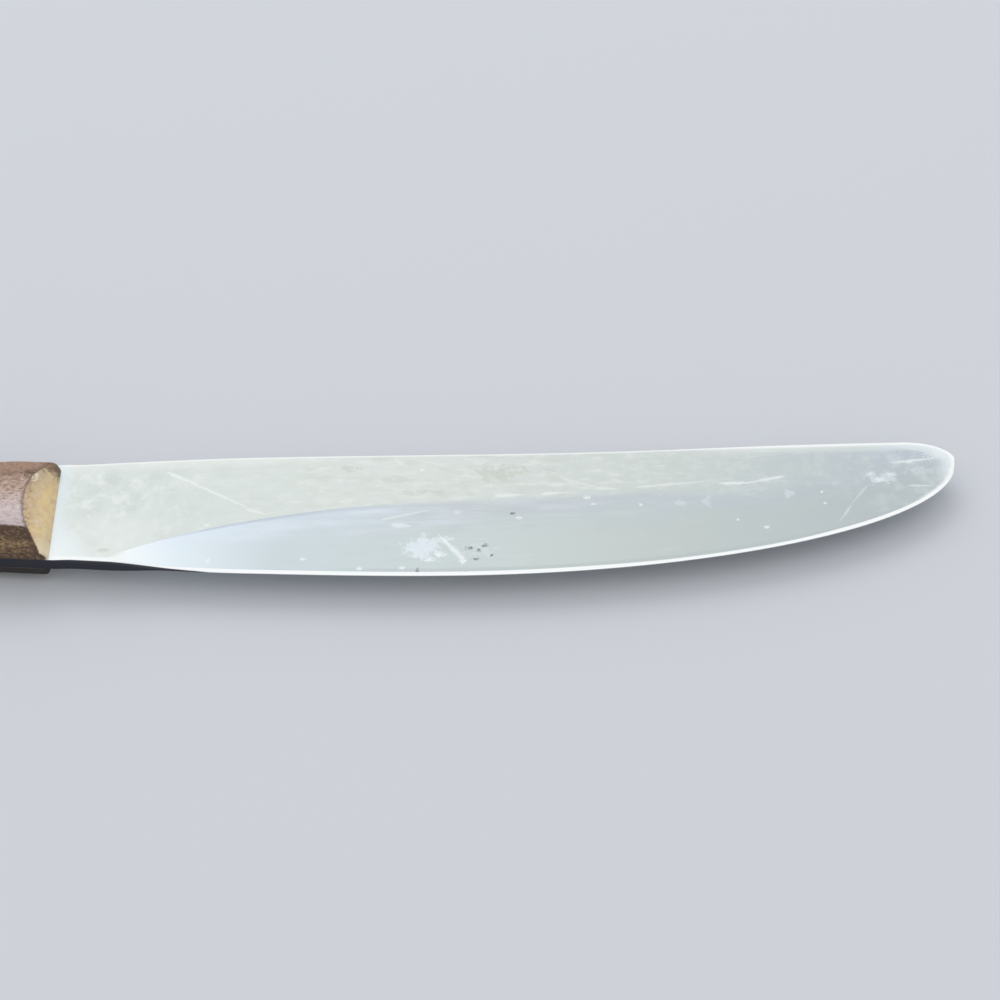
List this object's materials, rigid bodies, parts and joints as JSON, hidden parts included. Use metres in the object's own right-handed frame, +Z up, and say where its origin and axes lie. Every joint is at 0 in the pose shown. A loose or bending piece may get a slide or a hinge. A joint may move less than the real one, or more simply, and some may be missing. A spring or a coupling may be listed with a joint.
{
  "type": "steak knife",
  "caption": "Steak knife with a plain round-nosed hollow-ground blade, a full tang and bevelled wooden handle scales held by flush brass rivets.",
  "frame": {"origin": "centre of the knife's length and width, on the flat of the lower scale that it rests on", "axes": "+X towards the tip, +Y towards the spine, +Z up out of the upper scale's flat"},
  "size_m": [0.225, 0.0208, 0.0077],
  "materials": {
    "blade_steel": "hollow-ground stainless steel, satin and worn, with a bright sharpened bevel along the edge",
    "handle_wood": "dark red-brown stained wood, worn dull, with pale bare wood on the front bevel",
    "rivet_brass": "brass ground flush with the scales, dulled by use"
  },
  "bodies": {
    "root": {"blade": "blade_steel", "lower_scale": "handle_wood", "upper_scale": "handle_wood", "front_rivet_socket": "rivet_brass", "front_rivet_pin": "rivet_brass", "middle_rivet_socket": "rivet_brass", "middle_rivet_pin": "rivet_brass", "rear_rivet_socket": "rivet_brass", "rear_rivet_pin": "rivet_brass"}
  },
  "joints": []
}
